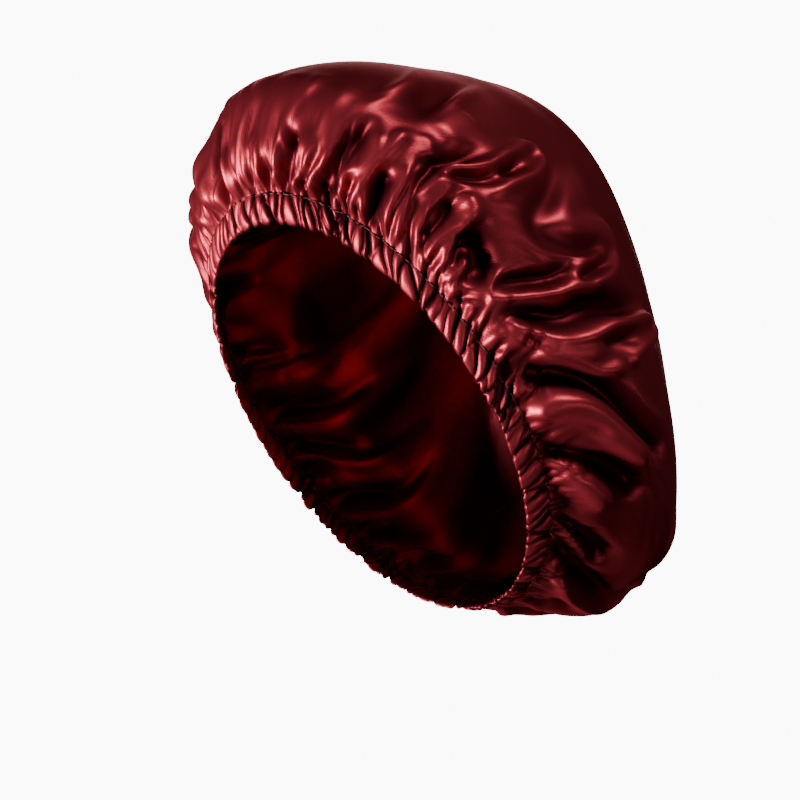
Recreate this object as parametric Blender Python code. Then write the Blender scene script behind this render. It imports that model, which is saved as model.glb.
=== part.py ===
# Sleep bonnet: a gathered satin bag with an elastic casing round its head opening.
# Metres, +Z up as worn, the wearer's face towards -Y and the wearer's left towards +X.
# The origin is the centre of the head opening.

import math
from collections import namedtuple

import bpy
import numpy as np

MM = 0.001

# The head opening lies in a plane that is tilted down from the forehead to the nape.
OPENING_TILT = math.radians(53.0)

# The bag before folding: level cuts that are parallel to the plane of the opening.
# height: above that plane; front_reach, back_reach: from the origin towards the forehead and
# towards the nape; half_width: to either side. All in mm.
Section = namedtuple("Section", "height front_reach back_reach half_width")
BAG_SECTIONS = [
    Section(0, 110, 127, 83),
    Section(19, 146, 138, 92),
    Section(38, 164, 150, 103),
    Section(59, 160, 170, 110),
    Section(81, 151, 184, 110),
    Section(103, 139, 176, 100),
    Section(128, 122, 150, 86),
    Section(155, 102, 112, 70),
    Section(179, 74, 58, 49),
    Section(190, 15, -15, 0),
]

# The bag hangs fuller towards its two back corners: share of the reach added there.
BACK_FULLNESS = 0.03
FULLNESS_HEIGHT = 36.0

# The folds of the bag: rounded ridges (height above 0) and troughs (height below 0).
# Each one runs through three places. angle: round the opening from the forehead towards the
# wearer's left, degrees; rise: along the satin from the opening's edge, mm.
# width: across the fold, mm; height: out of the bag, mm.
Fold = namedtuple("Fold", "angle_1 rise_1 angle_2 rise_2 angle_3 rise_3 width height")
LEFT_FOLDS = [
    Fold(0, 8, 0, 30, -3, 56, 14, 3),
    Fold(7, 8, 11, 44, 8, 88, 15, 4),
    Fold(14, 8, 20, 30, 27, 56, 16, 5),
    Fold(25, 32, 26, 54, 34, 70, 12, -4),
    Fold(24, 20, 26, 66, 10, 160, 19, 6),
    Fold(30, 12, 35, 39, 37, 78, 15, 4),
    Fold(38, 78, 33, 125, 22, 190, 18, 5),
    Fold(39, 8, 43, 25, 43, 54, 18, 6),
    Fold(46, 22, 46, 45, 45, 72, 15, 4),
    Fold(46, 34, 46, 65, 47, 100, 13, -4),
    Fold(47, 60, 50, 83, 51, 145, 24, 7),
    Fold(53, 8, 55, 32, 58, 60, 18, 6),
    Fold(59, 10, 60, 27, 65, 46, 15, 4),
    Fold(65, 8, 73, 38, 77, 131, 22, 7),
    Fold(67, 31, 74, 61, 75, 126, 13, -4),
    Fold(77, 16, 89, 55, 96, 142, 26, 8),
    Fold(85, 14, 95, 39, 111, 84, 17, -5),
    Fold(90, 8, 99, 40, 117, 83, 24, 7),
    Fold(102, 8, 108, 27, 119, 53, 14, -4),
    Fold(107, 8, 112, 24, 127, 48, 22, 6),
    Fold(121, 8, 127, 22, 142, 42, 20, 5),
    Fold(136, 10, 156, 60, 146, 110, 26, 5),
    Fold(156, 8, 166, 50, 170, 100, 24, 5),
    Fold(180, 8, 181, 60, 182, 130, 26, 6),
]

# The wearer's right has the same kind of folds, turned a little and flatter.
RIGHT_FOLD_SHIFT = 7.0
RIGHT_FOLD_SCALE = 0.6

FOLD_SAMPLES = 13
FOLD_END_TAPER = 0.3

SATIN_THICKNESS = 1.2
PIECE_GAP = 0.42

# The casing
CASING_WIDTH = 16.0
CASING_THICKNESS = 3.4
CASING_EDGE_ROUNDING = 0.9
CASING_GATHERS = 80
CASING_GATHER_DEPTH = 0.9
CASING_INNER_SHARE = 0.45
CASING_ACROSS = 3

# Slow changes of the gathers round the opening. count: how often each one comes round;
# phase: where it starts, radians; share: how strong it is.
Wave = namedtuple("Wave", "count phase share")
CASING_UNEVENNESS = Wave(9, 0.4, 0.2)
BAG_UNEVENNESS = Wave(7, 1.3, 0.25)
REACH_WAVES = [
    Wave(5, 0.7, 0.3),
    Wave(13, 2.1, 0.2),
]

# The fine gathers of the bag above the casing
BAG_GATHERS = 60
BAG_GATHER_DEPTH = 1.7
BAG_GATHER_REACH = (22.0, 62.0)
GATHER_START_REACH = 7.0
GATHER_START_SHARE = 0.25
PUFF_HEIGHT = 3.5
PUFF_REACH = 18.0
HEM_REACH = 12.0

BAG_RINGS = 18
RING_CROWDING = 1.45
PROFILE_SAMPLES = 400


def smooth_step(low, high, value):
    """0 below low, 1 above high, with a soft change between them."""
    share = np.clip((value - low) / (high - low), 0.0, 1.0)
    return share * share * (3.0 - 2.0 * share)


def section_values(station):
    """Section columns at stations from 0 (opening) to 1 (top of the bag)."""
    rows = np.array(BAG_SECTIONS, dtype=float)
    before = 2.0 * rows[0] - rows[1]
    top = rows[-1]
    mirrored = rows[-2]
    after = np.array([
        mirrored[0],
        2.0 * top[1] - mirrored[1],
        2.0 * top[2] - mirrored[2],
        -mirrored[3],
    ])
    knots = np.vstack([before, rows, after])
    spans = len(rows) - 1
    place = np.clip(station, 0.0, 1.0) * spans
    index = np.minimum(place.astype(int), spans - 1)
    part = (place - index)[..., None]
    p0 = knots[index]
    p1 = knots[index + 1]
    p2 = knots[index + 2]
    p3 = knots[index + 3]
    line = 2.0 * p1 + (p2 - p0) * part
    curve = (2.0 * p0 - 5.0 * p1 + 4.0 * p2 - p3) * part ** 2
    twist = (3.0 * p1 - p0 - 3.0 * p2 + p3) * part ** 3
    return 0.5 * (line + curve + twist)


def bag_point(angle, station):
    """Point of the unfolded bag, in mm."""
    values = section_values(station)
    height = values[..., 0]
    front = -values[..., 1]
    back = values[..., 2]
    corner = np.sin(2.0 * angle) ** 2 * (np.cos(angle) < 0.0) * np.clip(height / FULLNESS_HEIGHT, 0.0, 1.0)
    fuller = 1.0 + BACK_FULLNESS * corner
    along = 0.5 * (front + back) - 0.5 * (back - front) * np.cos(angle) * fuller
    side = values[..., 3] * np.sin(angle) * fuller
    depth = along * math.cos(OPENING_TILT) + height * math.sin(OPENING_TILT)
    lift = height * math.cos(OPENING_TILT) - along * math.sin(OPENING_TILT)
    return np.stack([side, depth, lift], axis=-1)


def station_at_rise(angle, rise):
    """Stations of places that lie `rise` mm along the satin from the opening's edge."""
    stations = np.linspace(0.0, 1.0, PROFILE_SAMPLES)
    result = np.zeros_like(rise)
    for column in range(len(angle)):
        profile = bag_point(np.full(PROFILE_SAMPLES, angle[column]), stations)
        steps = np.linalg.norm(np.diff(profile, axis=0), axis=1)
        lengths = np.concatenate([[0.0], np.cumsum(steps)])
        result[:, column] = np.interp(rise[:, column], lengths, stations)
    return result


def profile_length(angle):
    """Length of the satin from the opening's edge to the top, for each angle."""
    stations = np.linspace(0.0, 1.0, PROFILE_SAMPLES)
    grid = bag_point(angle[None, :], stations[:, None] + 0.0 * angle[None, :])
    steps = np.linalg.norm(np.diff(grid, axis=0), axis=2)
    return steps.sum(axis=0)


def bag_normal(angle, station):
    """Outward normals of the unfolded bag."""
    nudge = 0.002
    low = np.clip(station - nudge, 0.0, 1.0)
    high = np.clip(station + nudge, 0.0, 1.0)
    up = bag_point(angle, high) - bag_point(angle, low)
    around = bag_point(angle + nudge, station) - bag_point(angle - nudge, station)
    normal = np.cross(around, up)
    length = np.linalg.norm(normal, axis=-1, keepdims=True)
    return normal / np.maximum(length, 1e-9)


def all_folds():
    """The left folds and their flatter mirror images on the right."""
    folds = list(LEFT_FOLDS)
    for fold in LEFT_FOLDS[1:-1]:
        folds.append(fold._replace(
            angle_1=-fold.angle_1 - RIGHT_FOLD_SHIFT,
            angle_2=-fold.angle_2 - RIGHT_FOLD_SHIFT,
            angle_3=-fold.angle_3 - RIGHT_FOLD_SHIFT,
            height=fold.height * RIGHT_FOLD_SCALE,
        ))
    return folds


def fold_line(fold):
    """Points on the unfolded bag along one fold, and the share of its length at each one."""
    share = np.linspace(0.0, 1.0, FOLD_SAMPLES)
    start = (1.0 - share) * (1.0 - 2.0 * share)
    middle = 4.0 * share * (1.0 - share)
    finish = share * (2.0 * share - 1.0)
    degrees = fold.angle_1 * start + fold.angle_2 * middle + fold.angle_3 * finish
    rise = fold.rise_1 * start + fold.rise_2 * middle + fold.rise_3 * finish
    angle = np.radians(degrees)
    station = station_at_rise(angle, rise[None, :])[0]
    return bag_point(angle, station), share


def fold_offset(points):
    """Distance in mm that the folds lift or sink the given points of the bag."""
    offset = np.zeros(points.shape[:-1])
    for fold in all_folds():
        line, share = fold_line(fold)
        starts = line[:-1]
        steps = line[1:] - starts
        reach = points[..., None, :] - starts
        along = (reach * steps).sum(axis=-1) / (steps * steps).sum(axis=-1)
        along = np.clip(along, 0.0, 1.0)
        gap = np.linalg.norm(reach - along[..., None] * steps, axis=-1)
        nearest = gap.argmin(axis=-1)
        distance = np.take_along_axis(gap, nearest[..., None], axis=-1)[..., 0]
        part = np.take_along_axis(along, nearest[..., None], axis=-1)[..., 0]
        place = share[nearest] + part * (share[1] - share[0])
        ends = smooth_step(0.0, FOLD_END_TAPER, place) * smooth_step(0.0, FOLD_END_TAPER, 1.0 - place)
        across = np.clip(distance / (0.5 * fold.width), 0.0, 1.6)
        ridge = np.exp(-1.6 * across * across) * (1.0 - smooth_step(1.2, 1.6, across))
        offset += fold.height * ridge * ends
    return offset


def wave_value(wave, angle):
    """A slow wave round the opening, from -share to share."""
    return wave.share * np.sin(wave.count * angle + wave.phase)


def gather_length(angle):
    """How far each fine gather runs up the bag, in mm."""
    short, long = BAG_GATHER_REACH
    place = 0.5 + sum(wave_value(wave, angle) for wave in REACH_WAVES)
    return short + (long - short) * place


def gather_offset(angle, rise):
    """Fine radial gathers and the puff of the satin just above the casing, in mm."""
    above = rise - CASING_WIDTH - PIECE_GAP
    wave = np.cos(BAG_GATHERS * angle)
    uneven = 1.0 - BAG_UNEVENNESS.share + wave_value(BAG_UNEVENNESS, angle)
    start = GATHER_START_SHARE + (1.0 - GATHER_START_SHARE) * smooth_step(0.0, GATHER_START_REACH, above)
    fade = 1.0 - smooth_step(0.35, 1.0, above / gather_length(angle))
    puff = np.exp(-((above - PUFF_REACH) / PUFF_REACH) ** 2) * smooth_step(0.0, 6.0, above)
    return BAG_GATHER_DEPTH * uneven * wave * start * fade + PUFF_HEIGHT * puff


def grid_normals(grid):
    """Outward normals of a grid of points whose columns close round the opening."""
    around = np.roll(grid, -1, axis=1) - np.roll(grid, 1, axis=1)
    up = np.empty_like(grid)
    up[1:-1] = grid[2:] - grid[:-2]
    up[0] = grid[1] - grid[0]
    up[-1] = grid[-1] - grid[-2]
    normal = np.cross(around, up)
    length = np.linalg.norm(normal, axis=-1, keepdims=True)
    return normal / np.maximum(length, 1e-9)


def satin(name, colour, roughness):
    """Woven satin: a smooth, softly shining cloth."""
    material = bpy.data.materials.new(name)
    material.use_nodes = True
    shader = material.node_tree.nodes["Principled BSDF"]
    shader.inputs["Base Color"].default_value = (*colour, 1.0)
    shader.inputs["Roughness"].default_value = roughness
    shader.inputs["Sheen Weight"].default_value = 0.3
    material.diffuse_color = (*colour, 1.0)
    return material


def add_piece(name, points, faces, material):
    """One named object from points in mm."""
    mesh = bpy.data.meshes.new(name)
    mesh.from_pydata((np.asarray(points) * MM).tolist(), [], faces)
    mesh.materials.append(material)
    mesh.validate()
    mesh.update()
    mesh.shade_smooth()
    piece = bpy.data.objects.new(name, mesh)
    bpy.context.scene.collection.objects.link(piece)
    return piece


def wall_faces(rings, columns, first, flip):
    """Quads of one wall of the bag, whose points start at `first`."""
    faces = []
    for ring in range(rings - 1):
        for column in range(columns):
            beside = (column + 1) % columns
            low = first + ring * columns
            high = low + columns
            quad = (low + column, low + beside, high + beside, high + column)
            faces.append(quad[::-1] if flip else quad)
    return faces


def cap_faces(rings, columns, first, tip, flip):
    """Triangles that close the top of one wall onto its tip."""
    faces = []
    last = first + (rings - 1) * columns
    for column in range(columns):
        beside = (column + 1) % columns
        triangle = (last + column, last + beside, tip)
        faces.append(triangle[::-1] if flip else triangle)
    return faces


def build_crown():
    """The bag: an outer and an inner face of satin, joined round the casing's upper edge."""
    columns = 2 * BAG_GATHERS
    rings = BAG_RINGS
    angle = np.linspace(0.0, 2.0 * math.pi, columns, endpoint=False)
    start = CASING_WIDTH + PIECE_GAP
    share = (np.arange(rings) / rings) ** RING_CROWDING
    lengths = profile_length(angle)
    rise = start + share[:, None] * (lengths[None, :] - start)
    station = station_at_rise(angle, rise)
    angles = angle[None, :] + 0.0 * rise
    base = bag_point(angles, station)
    normal = bag_normal(angles, station)
    near_top = 1.0 - smooth_step(0.8, 1.0, station)
    hem = smooth_step(0.0, HEM_REACH, rise - start)
    offset = fold_offset(base) * near_top * hem + gather_offset(angles, rise)
    outer = base + normal * offset[..., None]
    inner = outer - grid_normals(outer) * SATIN_THICKNESS
    top = bag_point(np.array([0.0]), np.array([1.0]))[0]
    lift = np.array([0.0, math.sin(OPENING_TILT), math.cos(OPENING_TILT)])
    outer_tip = 0.5 * top + 0.5 * outer[-1].mean(axis=0) + 0.25 * lift
    inner_tip = outer_tip - lift * SATIN_THICKNESS
    count = rings * columns
    points = np.vstack([outer.reshape(-1, 3), inner.reshape(-1, 3), outer_tip, inner_tip])
    faces = wall_faces(rings, columns, 0, False)
    faces += wall_faces(rings, columns, count, True)
    faces += cap_faces(rings, columns, 0, 2 * count, False)
    faces += cap_faces(rings, columns, count, 2 * count + 1, True)
    for column in range(columns):
        beside = (column + 1) % columns
        faces.append((beside, column, count + column, count + beside))
    return add_piece("crown", points, faces, satin("burgundy_satin", (0.26, 0.018, 0.03), 0.34))


def casing_outline():
    """Corners of the casing's cut: (rise along the satin, share of the half thickness)."""
    inset = CASING_EDGE_ROUNDING
    rises = np.linspace(inset, CASING_WIDTH - inset, CASING_ACROSS)
    outside = [(rise, 1.0) for rise in rises]
    inside = [(rise, -1.0) for rise in rises[::-1]]
    return [(0.0, 0.0)] + outside + [(CASING_WIDTH, 0.0)] + inside


def build_casing():
    """The hem: a flat ring, gathered into small ruffles on its outer face."""
    columns = 2 * CASING_GATHERS
    angle = np.linspace(0.0, 2.0 * math.pi, columns, endpoint=False)
    outline = casing_outline()
    corners = len(outline)
    rings = []
    for rise_value, side in outline:
        rise = np.full((1, columns), rise_value)
        station = station_at_rise(angle, rise)
        base = bag_point(angle[None, :], station)[0]
        normal = bag_normal(angle[None, :], station)[0]
        ruffle = CASING_GATHER_DEPTH * np.cos(CASING_GATHERS * angle)
        uneven = 1.0 - CASING_UNEVENNESS.share + wave_value(CASING_UNEVENNESS, angle)
        weight = 1.0 if side > 0.0 else CASING_INNER_SHARE
        offset = 0.5 * CASING_THICKNESS * side + weight * ruffle * uneven
        rings.append(base + normal * offset[:, None])
    points = np.stack(rings, axis=1).reshape(-1, 3)
    faces = []
    for column in range(columns):
        beside = (column + 1) % columns
        for corner in range(corners):
            following = (corner + 1) % corners
            faces.append((
                column * corners + corner,
                beside * corners + corner,
                beside * corners + following,
                column * corners + following,
            ))
    return add_piece("elastic_casing", points, faces, satin("casing_satin", (0.24, 0.016, 0.027), 0.38))


def clear_scene():
    """Starts from an empty scene."""
    for thing in list(bpy.data.objects):
        bpy.data.objects.remove(thing, do_unlink=True)


clear_scene()
build_crown()
build_casing()
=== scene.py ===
# Sleep bonnet: the satin bag, its gathered casing and the stitching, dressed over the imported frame.
# Lengths in the tables and named values are millimetres unless a name says otherwise.

import math
from collections import namedtuple

import bpy
import numpy as np
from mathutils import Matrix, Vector


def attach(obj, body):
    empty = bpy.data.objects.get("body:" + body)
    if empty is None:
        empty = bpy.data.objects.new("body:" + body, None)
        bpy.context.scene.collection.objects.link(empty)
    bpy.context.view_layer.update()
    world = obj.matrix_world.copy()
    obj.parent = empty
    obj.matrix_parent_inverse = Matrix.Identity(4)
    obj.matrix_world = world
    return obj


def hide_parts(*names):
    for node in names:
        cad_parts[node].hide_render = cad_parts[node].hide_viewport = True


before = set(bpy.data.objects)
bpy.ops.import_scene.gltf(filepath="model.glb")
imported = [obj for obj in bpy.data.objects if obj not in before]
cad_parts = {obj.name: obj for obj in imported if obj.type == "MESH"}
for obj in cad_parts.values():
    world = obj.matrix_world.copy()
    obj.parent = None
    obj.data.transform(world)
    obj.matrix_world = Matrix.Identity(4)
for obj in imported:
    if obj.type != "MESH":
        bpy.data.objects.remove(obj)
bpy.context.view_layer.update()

MM = 0.001

# ---------------- driving sizes

# The plane of the opening leans this far back from level.
OPENING_TILT = math.radians(53.0)

# The plain bag in sections that lie parallel to the opening: the height of each above it,
# and its reach to the front, to the back and to either side.
Section = namedtuple("Section", "height front_reach back_reach half_width")
BAG_SECTIONS = [
    Section(0, 110, 127, 83),
    Section(19, 146, 138, 92),
    Section(38, 164, 150, 103),
    Section(59, 160, 170, 110),
    Section(81, 151, 184, 110),
    Section(103, 139, 176, 100),
    Section(128, 122, 150, 86),
    Section(155, 102, 112, 70),
    Section(179, 74, 58, 49),
    Section(190, 15, -15, 0),
]

# The back corners of a section are this share fuller, from this height up.
BACK_FULLNESS = 0.03
FULLNESS_HEIGHT = 36.0

# The casing's width, its seam's place along the satin, and how far the bag tucks under it.
CASING_WIDTH = 16.0
SEAM_RISE = 15.0
HEM_TUCK = 3.0

# Folds of the satin. width: across the ridge (height above 0) or trough (below 0);
# fade: share of the length over which its far end dies out;
# path: (angle round the opening in degrees, rise along the satin from the opening's edge).
Fold = namedtuple("Fold", "name width height fade path")
SEEN_ROWS = [
    ("far panel", 17.0, 5.0, 0.35, [(-35, 61), (-29, 37), (-24, 19)]),
    ("far ridge", 6.0, 4.0, 0.35, [(-42.5, 55), (-40.5, 39), (-33, 19)]),
    ("far low ridge", 4.5, 3.0, 0.35, [(-51.5, 46), (-53.5, 42), (-49.5, 27)]),
    ("far valley", 7.5, -9.0, 0.35, [(-21.5, 69), (-19.5, 50), (-19, 33), (-17, 17)]),
    ("brow ridge 1", 5.5, 5.0, 0.35, [(-14, 46), (-14, 31), (-13.5, 15)]),
    ("brow panel", 12.0, 4.0, 0.35, [(-1, 47), (-2, 34), (-3, 19)]),
    ("brow crease 1", 4.0, 3.0, 0.35, [(-1.5, 66), (-5, 51), (-7.5, 36), (-8.5, 17)]),
    ("brow slit 3", 4.0, -6.0, 0.35, [(3.5, 38), (2.5, 27), (1, 14)]),
    ("long brow ridge", 5.5, 6.0, 0.8, [
        (8, 97), (14, 67), (11.5, 53), (9, 40), (7, 28), (3.5, 13),
    ]),
    ("brow pocket", 8.5, -9.0, 0.1, [(14, 46), (12.5, 33), (10, 22), (7.5, 13)]),
    ("brow tongue", 6.0, 5.0, 0.35, [(17.5, 50), (16.5, 38), (14.5, 27)]),
    ("brow ridge 5", 4.0, 6.0, 0.35, [(23, 51), (19.5, 37), (15, 25), (9.5, 13)]),
    ("brow slit 5", 3.0, -5.0, 0.35, [(24, 46), (20, 32), (15.5, 23), (13, 14)]),
    ("bright band", 7.7, 7.0, 0.35, [(29, 54), (24.5, 38), (19.5, 25), (15, 12)]),
    ("dark arc", 11.0, -9.0, 0.35, [(35, 66), (31.5, 59), (29, 47), (26, 33), (22, 17)]),
    ("nose ridge 1", 5.2, 8.0, 0.1, [
        (35.5, 62), (37, 53), (35, 43), (30.5, 36), (29.5, 28), (26.5, 16),
    ]),
    ("pocket 1", 4.5, -6.0, 0.1, [(34, 35), (32.5, 31), (31.5, 24)]),
    ("sharp ridge", 5.6, 8.0, 0.1, [(39.5, 70), (39.5, 57), (37.5, 43), (34, 30), (31.5, 18)]),
    ("sharp ridge foot", 4.0, 4.0, 0.35, [(38, 35), (35.5, 21), (31, 4)]),
    ("crown diagonal 1", 8.5, 5.0, 0.8, [
        (10, 181), (25, 111), (28.5, 80), (29, 63), (27.5, 52),
    ]),
    ("crown shade 1", 15.0, -5.0, 0.8, [(26, 168), (32, 108), (34, 81), (33, 71)]),
    ("crown diagonal 2", 8.5, 5.0, 0.8, [(26, 190), (33, 131), (36, 101), (39.5, 77)]),
    ("crown panel 2", 15.0, 3.0, 0.35, [(38, 121), (39.5, 98), (42.5, 80)]),
    ("crown crease", 2.5, 2.0, 0.35, [(40, 76), (43.5, 72), (47, 67)]),
    ("nose ridge 2", 4.2, 8.0, 0.1, [
        (43, 51), (45.5, 51), (45.5, 43), (44.5, 32), (43.5, 21), (40, 2),
    ]),
    ("pocket 2", 9.0, -10.0, 0.1, [(41.5, 46), (40, 35), (39, 22)]),
    ("thin ridge", 4.0, 6.0, 0.35, [(47, 66), (47.5, 56), (47.5, 44), (46.5, 33), (46, 18)]),
    ("slit 2", 3.5, -6.0, 0.35, [(46.5, 52), (46.5, 41), (45.5, 30), (44, 15)]),
    ("big valley 1", 9.0, -9.0, 0.35, [
        (47.5, 103), (48, 72), (48.5, 56), (48.5, 44), (48, 31),
    ]),
    ("lobe ridge", 4.9, 6.0, 0.1, [
        (49, 62), (51.5, 79), (51, 99), (50, 128), (52, 136), (55, 130), (56, 112),
        (56, 97), (57.5, 78), (58, 65),
    ]),
    ("lobe hollow", 7.5, -7.0, 0.35, [(53.5, 91), (52.5, 107), (53.5, 116)]),
    ("lobe valley", 5.5, -6.0, 0.35, [(51, 63), (53.5, 77), (54, 91)]),
    ("arch left", 5.6, 8.0, 0.1, [
        (45.5, 8), (46.5, 24), (48, 38), (49.5, 50), (51.5, 58), (55, 59),
    ]),
    ("arch nose", 7.5, 9.0, 0.1, [(56.5, 59), (59.5, 58), (61, 53)]),
    ("arch right", 4.9, 8.0, 0.1, [
        (61.5, 54), (61, 48), (58.5, 42), (57, 34), (56, 25), (53, 5),
    ]),
    ("arch pocket", 7.5, -10.0, 0.1, [(55, 53), (56.5, 48), (55.5, 41), (54.5, 31)]),
    ("arch inner", 4.5, 4.0, 0.35, [(53, 46), (53, 37), (52.5, 23)]),
    ("arch inner 2", 3.5, 4.0, 0.35, [(55.5, 47), (55, 40), (55, 29)]),
    ("small loop", 3.5, 4.0, 0.1, [(58, 32), (60, 35), (61.5, 34), (59.5, 25), (55.5, 11)]),
    ("small loop pit", 2.5, -4.0, 0.35, [(59, 31), (58, 25), (55.5, 15)]),
    ("side nose", 4.4, 5.0, 0.1, [(63.5, 37), (65, 36), (63.5, 28), (60, 16)]),
    ("side hollow", 15.0, -9.0, 0.1, [(61, 41), (66, 43), (70, 38)]),
    ("long fold low rim", 4.1, 7.0, 0.1, [
        (63, 19), (73, 36), (78.5, 50), (79, 67), (78.5, 86), (78.5, 106), (79, 125),
        (77.5, 132), (75.5, 124),
    ]),
    ("long fold high rim", 3.6, 5.0, 0.1, [(75.5, 126), (74.5, 100), (77.5, 77), (78.5, 65)]),
    ("long fold hollow", 5.5, -7.0, 0.35, [(77, 120), (76.5, 98), (77.5, 81)]),
    ("long fold start", 7.0, 5.0, 0.35, [(72, 32), (74.5, 37), (77, 44)]),
    ("valley 2", 8.5, -7.0, 0.35, [(72, 38), (76, 50), (76.5, 68), (74, 92)]),
    ("casing ridge 1", 3.5, 4.0, 0.35, [(74.5, 32), (69.5, 23), (66, 15), (61, 0)]),
    ("casing ridge 2", 3.0, 4.0, 0.35, [(67.5, 27), (64, 18), (62, 9), (60, 0)]),
    ("casing slit 1", 3.0, -5.0, 0.35, [(73, 32), (68.5, 24), (65, 17), (61, 3)]),
    ("valley 3", 12.0, -9.0, 0.35, [(76, 29), (81, 41), (85, 57), (83, 88), (90, 135)]),
    ("wide fold top", 6.8, 7.0, 0.1, [
        (78.5, 31), (86.5, 45), (88.5, 54), (88, 72), (86.5, 89), (89, 113), (96, 136),
    ]),
    ("wide fold nose", 5.6, 7.0, 0.1, [(94.5, 132), (97.5, 133), (93, 102), (94.5, 84)]),
    ("wide fold low", 5.6, 7.0, 0.1, [
        (94.5, 85), (95.5, 68), (95, 57), (92, 46), (87, 36), (82.5, 31), (79, 24),
        (78, 17),
    ]),
    ("wide fold body", 13.0, 4.0, 0.35, [(87.5, 42), (91.5, 56), (91, 79)]),
    ("wide hollow", 4.5, -4.0, 0.35, [(91, 72), (90, 89), (90.5, 104)]),
    ("casing ridge 3", 4.0, 4.0, 0.35, [(85.5, 26), (82.5, 21), (80.5, 15), (78, 5)]),
    ("casing ridge 4", 3.5, 3.0, 0.35, [(73, 13), (71, 7), (69.5, 0)]),
    ("valley 4", 12.0, -11.0, 0.1, [
        (89.5, 25), (95.5, 42), (99, 54), (102.5, 62), (107, 71), (112, 82), (116, 89),
    ]),
    ("hip fold", 16.0, 11.0, 0.28, [
        (98.5, 19), (99, 30), (101, 43), (104, 55), (108, 65), (112.5, 74), (117.5, 83),
    ]),
    ("hip fold rim", 4.5, 4.0, 0.35, [(97.5, 15), (101, 27), (104.5, 39), (108.5, 53)]),
    ("hip crease", 3.0, 2.0, 0.35, [(96, 85), (99, 82), (103.5, 86), (110, 103)]),
    ("puff 1", 7.0, 5.0, 0.1, [(89.5, 17), (92.5, 17), (95, 20)]),
    ("valley 5", 10.0, -9.0, 0.1, [
        (103, 13), (108, 22), (112, 34), (116, 46), (119.5, 60), (122.5, 70),
    ]),
    ("puff 2", 5.0, 4.0, 0.1, [(102.5, 15), (102.5, 20), (103.5, 23)]),
    ("low fold 1", 12.0, 9.0, 0.28, [(107.5, 9), (111, 20), (115, 30), (120.5, 38), (127, 47)]),
    ("valley 6", 7.0, -7.0, 0.35, [(110.5, 6), (116, 14), (121.5, 22), (128, 33)]),
    ("low ridge 1", 5.0, 5.0, 0.35, [(111, 5), (115, 10), (120, 15)]),
    ("valley 7", 10.0, -9.0, 0.1, [
        (116.5, 2), (122.5, 12), (127.5, 22), (132.5, 32), (139, 44), (144, 55),
    ]),
    ("low ridge 2", 6.0, 6.0, 0.35, [
        (119.5, 0), (126, 15), (130.5, 23), (136.5, 32), (142.5, 41),
    ]),
    ("low patch", 8.0, 4.0, 0.35, [(135, 12), (140.5, 15), (149, 25)]),
    ("valley 8", 11.0, -8.0, 0.35, [
        (134.5, 19), (141.5, 30), (150, 43), (158, 62), (163.5, 89), (158, 97),
    ]),
    ("under rim", 9.0, 6.0, 0.1, [
        (148, 26), (157, 42), (165, 65), (169.5, 92), (160.5, 96), (151, 99),
    ]),
    ("long crease 1", 8.0, 2.2, 0.8, [
        (-11, 19), (-10, 32), (-7, 45), (-4.5, 57), (-2, 65), (-9, 89),
    ]),
    ("long crease 3", 7.0, 1.8, 0.8, [(-18.5, 61), (-16.5, 73), (-9.5, 76)]),
    ("long crease 4", 6.0, -1.8, 0.8, [(-4, 20), (-3, 32), (-0.5, 44), (2, 57), (5, 67)]),
    ("long crease 5", 9.0, 2.2, 0.8, [(19, 41), (22, 55), (22.5, 69), (17, 93)]),
    ("long crease 6", 8.0, -2.0, 0.8, [(15, 33), (17.5, 46), (19.5, 61), (17.5, 80)]),
    ("panel crease", 11.0, -3.5, 0.35, [
        (55.5, 147), (59.5, 123), (62, 97), (65, 85), (68.5, 84), (71, 96), (76, 130),
    ]),
    ("panel swell", 15.0, 3.5, 0.35, [
        (57, 178), (62.5, 154), (63.5, 117), (67, 105), (71.5, 126), (79.5, 153),
    ]),
]
SEEN_FOLDS = [Fold(*row) for row in SEEN_ROWS]

# Fans of folds laid out by a rule: how many, from which angle to which, and the ranges of
# their low ends, their far ends, their drift round the bag on the way, width and height.
# bend: the share of the drift made half way; by_turns: ridges and troughs by turns, or else
# by chance. Each fold begins in this part of its step.
Fan = namedtuple("Fan", "name count start end low reach drift bend width height fade by_turns")
FAN_SPOT = (0.2, 0.8)

# Fine creases up the front.
BROW_FAN = Fan(
    "brow crease", 24, -60.0, 30.0, (19.0, 30.0), (60.0, 120.0), (2.0, 7.0), 0.5,
    (4.0, 7.0), (1.0, 2.2), 0.8, False,
)
CREASE_SEED = 5

# The wearer's right and the back: long soft folds from the casing, laid out by a rule.
HIDDEN_FOLDS = 18
HIDDEN_FROM = 168.0
HIDDEN_TO = 306.0
HIDDEN_LOW = 23.0
HIDDEN_REACH = (90.0, 175.0)
HIDDEN_DRIFT = (-7.0, 7.0)
HIDDEN_WIDTH = (12.0, 20.0)
HIDDEN_HEIGHT = (4.5, 7.5)
TROUGH_WIDTH = 0.7
HIDDEN_SPOT = (0.3, 0.7)

# Their ways over the bag, after their low end: shares of the drift and of the reach. A loop's
# way has a share of the step to the next fold too, and a length added to its reach.
RIDGE_WAY = [(0.15, 0.3), (0.55, 0.65), (1.0, 1.0)]
TROUGH_WAY = [(0.2, 0.3), (0.7, 0.8)]
LOOP_WAY = [
    (1.0, 0.0, 0.6, 0.0),
    (1.0, 0.2, 0.6, 14.0),
    (1.0, 0.6, 0.6, 12.0),
    (1.0, 0.8, 0.5, 0.0),
    (0.0, 0.9, 0.3, 0.0),
]
LOOP_EVERY = 4
LOOP_SIZE = 0.8
LOOP_FADE = 0.1
BACK_FADE = 0.45

# Broad low sweeps over the back.
SWEEP_FAN = Fan(
    "back sweep", 12, 143.0, 311.0, (60.0, 100.0), (170.0, 255.0), (-12.0, 12.0), 0.3,
    (20.0, 34.0), (2.5, 4.5), BACK_FADE, True,
)
FOLD_SEED = 7

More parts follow.
